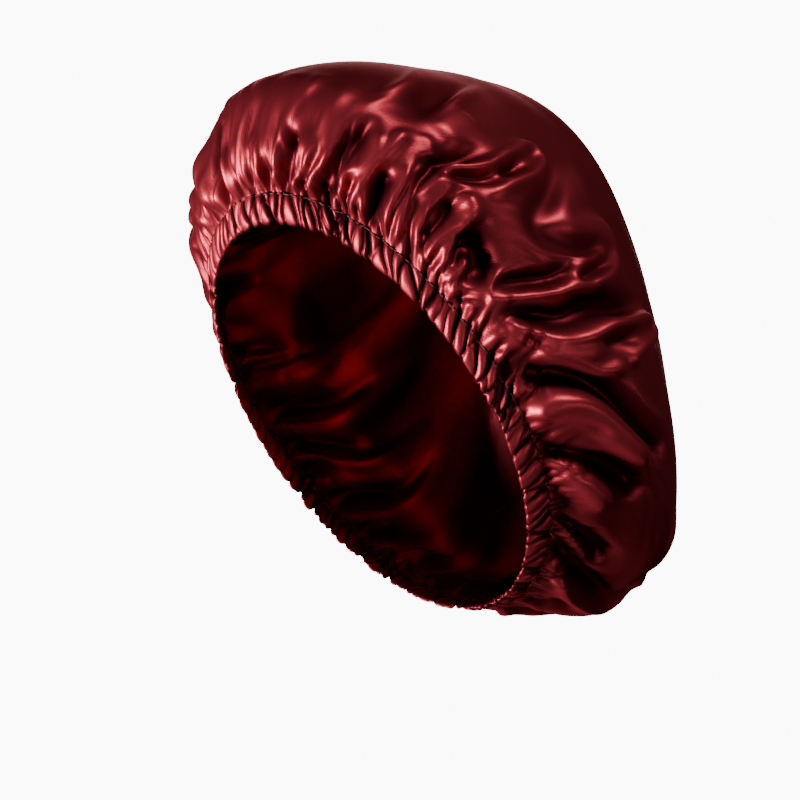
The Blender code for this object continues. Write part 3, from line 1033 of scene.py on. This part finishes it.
def burgundy_satin(name, deep, bright):
    """Woven polyester satin: its long floats give the eye a smooth, reddish, silky gloss. Its colour
    is painted darker deep in the folds as painted shade.
    """
    material = bpy.data.materials.new(name)
    material.use_nodes = True
    tree = material.node_tree
    shader = tree.nodes["Principled BSDF"]

    place = add_node(tree, "ShaderNodeTexCoord")
    cloudy = add_node(tree, "ShaderNodeTexNoise", PATCHES, {"Vector": place.outputs["Object"]})
    # Painted shade: the crest values mix the colour darker deep in the folds and lighter on their
    # crests; random dye patches vary it too.
    crest = add_node(tree, "ShaderNodeAttribute", {"attribute_name": "crest"})
    depth = add_node(tree, "ShaderNodeMapRange", PAINTED_SHADE_RANGE, {"Value": crest.outputs["Fac"]})
    mottle = add_node(tree, "ShaderNodeMapRange", PATCH_RANGE, {"Value": cloudy.outputs["Fac"]})
    share = add_node(tree, "ShaderNodeMath", {"operation": "ADD", "use_clamp": True}, {
        0: depth.outputs["Result"],
        1: mottle.outputs["Result"],
    })
    shade_and_mottle = add_node(tree, "ShaderNodeMix", {"data_type": "RGBA"}, {
        "Factor": share.outputs["Value"],
    })
    shade_and_mottle.inputs["A"].default_value = linear(deep)
    shade_and_mottle.inputs["B"].default_value = linear(bright)
    tree.links.new(shade_and_mottle.outputs["Result"], shader.inputs["Base Color"])

    cut = add_node(tree, "ShaderNodeUVMap", {"uv_map": "cut"})
    floats = add_node(tree, "ShaderNodeMapping", None, {"Vector": cut.outputs["UV"]})
    floats.inputs["Scale"].default_value = (FLOATS_PER_METRE / FLOAT_STRETCH, FLOATS_PER_METRE, 1.0)
    grain = add_node(tree, "ShaderNodeTexNoise", {"Scale": 1.0, "Detail": 2.0}, {
        "Vector": floats.outputs["Vector"],
    })
    bump = add_node(tree, "ShaderNodeBump", FLOAT_RELIEF, {"Height": grain.outputs["Fac"]})
    tree.links.new(bump.outputs["Normal"], shader.inputs["Normal"])

    for socket, value in SATIN.items():
        shader.inputs[socket].default_value = value
    return material


def plain_matt(name, colour, roughness):
    """A dull surface: spun sewing thread, or the studio's painted floor."""
    material = bpy.data.materials.new(name)
    material.use_nodes = True
    shader = material.node_tree.nodes["Principled BSDF"]
    shader.inputs["Base Color"].default_value = linear(colour)
    shader.inputs["Roughness"].default_value = roughness
    return material


# ---------------- stitching


def build_stitches(material):
    """Lockstitches along the casing's seam, set by Geometry Nodes."""
    angle = np.linspace(0.0, 2.0 * math.pi, SEAM_COLUMNS, endpoint=False)
    rise = np.full(SEAM_COLUMNS, SEAM_RISE)
    station = station_at_rise(angle, rise[:, None])[:, 0]
    base = bag_point(angle, station)
    normal = bag_normal(angle, station)
    offset = gather_offset(angle, rise) + STITCH_PROUD
    points = (base + normal * offset[:, None]) * MM
    mesh = bpy.data.meshes.new("seam_line")
    edges = [(i, (i + 1) % SEAM_COLUMNS) for i in range(SEAM_COLUMNS)]
    mesh.from_pydata(points.tolist(), edges, [])
    seam = add_object("seam_stitches", mesh)

    tree = bpy.data.node_groups.new("stitch_row", "GeometryNodeTree")
    sockets = tree.interface
    sockets.new_socket("Seam", in_out="INPUT", socket_type="NodeSocketGeometry")
    inputs = {
        name: sockets.new_socket(name, in_out="INPUT", socket_type="NodeSocketFloat")
        for name in STITCH_SIZES
    }
    sockets.new_socket("Stitches", in_out="OUTPUT", socket_type="NodeSocketGeometry")
    source = add_node(tree, "NodeGroupInput")
    target = add_node(tree, "NodeGroupOutput")
    curve = add_node(tree, "GeometryNodeMeshToCurve", None, {"Mesh": source.outputs["Seam"]})
    spaced = add_node(tree, "GeometryNodeResampleCurve", {"mode": "LENGTH"}, {
        "Curve": curve.outputs["Curve"],
        "Length": source.outputs["Stitch Pitch"],
    })
    tangent = add_node(tree, "GeometryNodeInputTangent")
    turn = add_node(tree, "FunctionNodeAlignRotationToVector", {"axis": "Z"}, {
        "Vector": tangent.outputs["Tangent"],
    })
    body = add_node(tree, "GeometryNodeMeshCylinder", {"Vertices": 6, "Side Segments": 2}, {
        "Radius": source.outputs["Thread Radius"],
        "Depth": source.outputs["Stitch Length"],
    })
    copies = add_node(tree, "GeometryNodeInstanceOnPoints", None, {
        "Points": spaced.outputs["Curve"],
        "Instance": body.outputs["Mesh"],
        "Rotation": turn.outputs["Rotation"],
    })
    real = add_node(tree, "GeometryNodeRealizeInstances", None, {
        "Geometry": copies.outputs["Instances"],
    })
    painted = add_node(tree, "GeometryNodeSetMaterial", {"Material": material}, {
        "Geometry": real.outputs["Geometry"],
    })
    tree.links.new(painted.outputs["Geometry"], target.inputs["Stitches"])

    modifier = seam.modifiers.new("stitch_row", "NODES")
    modifier.node_group = tree
    for name, size in STITCH_SIZES.items():
        modifier[inputs[name].identifier] = size * MM
    graph = bpy.context.evaluated_depsgraph_get()
    result = bpy.data.meshes.new_from_object(seam.evaluated_get(graph))
    seam.modifiers.clear()
    seam.data = result
    return seam


# ---------------- build


bag = build_bag()
casing = build_casing()

# The same satin twice, with painted shade in its colour: wine red painted on the crests and near
# black-red painted in the folds, the casing's tight gathers painted a little darker still. The thread
# is matt and darker than the satin's crests.
bag.data.materials.append(burgundy_satin("burgundy_polyester_satin", "#360A0F", "#7A242C"))
casing.data.materials.append(burgundy_satin("burgundy_satin_casing", "#30090E", "#7A242C"))
stitches = build_stitches(plain_matt("burgundy_sewing_thread", "#4A1117", 0.85))

for piece, node, slot in (
    (bag, "crown", "burgundy_satin"),
    (casing, "elastic_casing", "casing_satin"),
    (stitches, None, "casing_satin"),
):
    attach(piece, "root")
    if node:
        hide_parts(node)

# ---------------- camera

# The photograph's angle, its scale, and the picture's place of the opening's centre.
VIEW_AZIMUTH = math.radians(42.0)
VIEW_ELEVATION = math.radians(-2.0)
VIEW_DISTANCE = 1500.0
MM_PER_PIXEL = 0.5
ORIGIN_PIXEL = (362.5, 409.0)
PICTURE = 800.0
SENSOR = 36.0

right = Vector((math.cos(VIEW_AZIMUTH), math.sin(VIEW_AZIMUTH), 0.0))
forward = Vector((
    -math.sin(VIEW_AZIMUTH) * math.cos(VIEW_ELEVATION),
    math.cos(VIEW_AZIMUTH) * math.cos(VIEW_ELEVATION),
    -math.sin(VIEW_ELEVATION),
))
upward = right.cross(forward)
sideways = right * (0.5 * PICTURE - ORIGIN_PIXEL[0]) * MM_PER_PIXEL
target = sideways + upward * (ORIGIN_PIXEL[1] - 0.5 * PICTURE) * MM_PER_PIXEL
target = target * MM
camera_data = bpy.data.cameras.new("camera")
camera_data.sensor_width = SENSOR
camera_data.lens = SENSOR * VIEW_DISTANCE / (PICTURE * MM_PER_PIXEL)
camera = add_object("camera", camera_data)
camera.location = target - forward * VIEW_DISTANCE * MM
camera.rotation_euler = forward.to_track_quat("-Z", "Y").to_euler()
bpy.context.scene.camera = camera

# ---------------- floor and light

# The floor lies well below, in metres, and shows evenly pale from every side.
FLOOR_HALF = 1.8
FLOOR_DROP = -1.1
FLOOR_PALENESS = 3.5

floor_corners = [(-1, -1), (1, -1), (1, 1), (-1, 1)]
floor_mesh = bpy.data.meshes.new("floor")
floor_mesh.from_pydata(
    [(x * FLOOR_HALF, y * FLOOR_HALF, FLOOR_DROP) for x, y in floor_corners],
    [],
    [(0, 1, 2, 3)],
)
floor = add_object("floor", floor_mesh)
floor_paint = plain_matt("pale_floor", "#D5D2CE", 0.8)
floor_tree = floor_paint.node_tree
floor_rays = add_node(floor_tree, "ShaderNodeLightPath")
floor_glow = add_node(floor_tree, "ShaderNodeMath", {"operation": "MULTIPLY"}, {
    0: floor_rays.outputs["Is Camera Ray"],
})
floor_glow.inputs[1].default_value = FLOOR_PALENESS
floor_shader = floor_tree.nodes["Principled BSDF"]
floor_shader.inputs["Emission Color"].default_value = linear("#F4F2EF")
floor_tree.links.new(floor_glow.outputs["Value"], floor_shader.inputs["Emission Strength"])
floor_mesh.materials.append(floor_paint)

# Soft square lights. Their places are given from the camera's side: to its right, towards it
# and up, in metres; size in metres, power in watts, spread in degrees.
Lamp = namedtuple("Lamp", "name sideways ahead high aim size power spread")
LAMPS = [
    Lamp("key_light", -1.42, 0.88, -0.5, (0, 0, 0.03), 0.45, 27.5, 70.0),
    Lamp("fill_light", 1.2, 0.7, -0.4, (0, 0, 0.0), 0.5, 0.7, 70.0),
    Lamp("top_light", 0.85, 0.7, 1.25, (0, 0, 0.0), 0.35, 5.2, 70.0),
    Lamp("back_light", -0.1, -1.8, 0.5, (0, 0, -0.05), 1.2, 10.0, 150.0),
]

towards = Vector((forward.x, forward.y, 0.0)).normalized()
for lamp in LAMPS:
    light = bpy.data.lights.new(lamp.name, "AREA")
    light.shape = "RECTANGLE"
    light.size = lamp.size
    light.size_y = lamp.size
    light.spread = math.radians(lamp.spread)
    light.energy = lamp.power
    holder = add_object(lamp.name, light)
    holder.location = right * lamp.sideways - towards * lamp.ahead + Vector((0, 0, lamp.high))
    aim = Vector(lamp.aim) - holder.location
    holder.rotation_euler = aim.to_track_quat("-Z", "Y").to_euler()

# A dim room round the object, behind it a bright plain backdrop.
ROOM_LIGHT = (0.008, 0.008, 0.0085, 1.0)
BACKDROP_LIGHT = (1.0, 1.0, 1.0, 1.0)
BACKDROP_BOOST = 9.0

world = bpy.data.worlds.new("studio")
bpy.context.scene.world = world
world.use_nodes = True
sky = world.node_tree
backdrop = sky.nodes["Background"]
rays = add_node(sky, "ShaderNodeLightPath")
shade = add_node(sky, "ShaderNodeMix", {"data_type": "RGBA"}, {
    "Factor": rays.outputs["Is Camera Ray"],
})
shade.inputs["A"].default_value = ROOM_LIGHT
shade.inputs["B"].default_value = BACKDROP_LIGHT
boost = add_node(sky, "ShaderNodeMath", {"operation": "MULTIPLY_ADD"}, {
    0: rays.outputs["Is Camera Ray"],
})
boost.inputs[1].default_value = BACKDROP_BOOST
boost.inputs[2].default_value = 1.0
sky.links.new(boost.outputs["Value"], backdrop.inputs["Strength"])
sky.links.new(shade.outputs["Result"], backdrop.inputs["Color"])
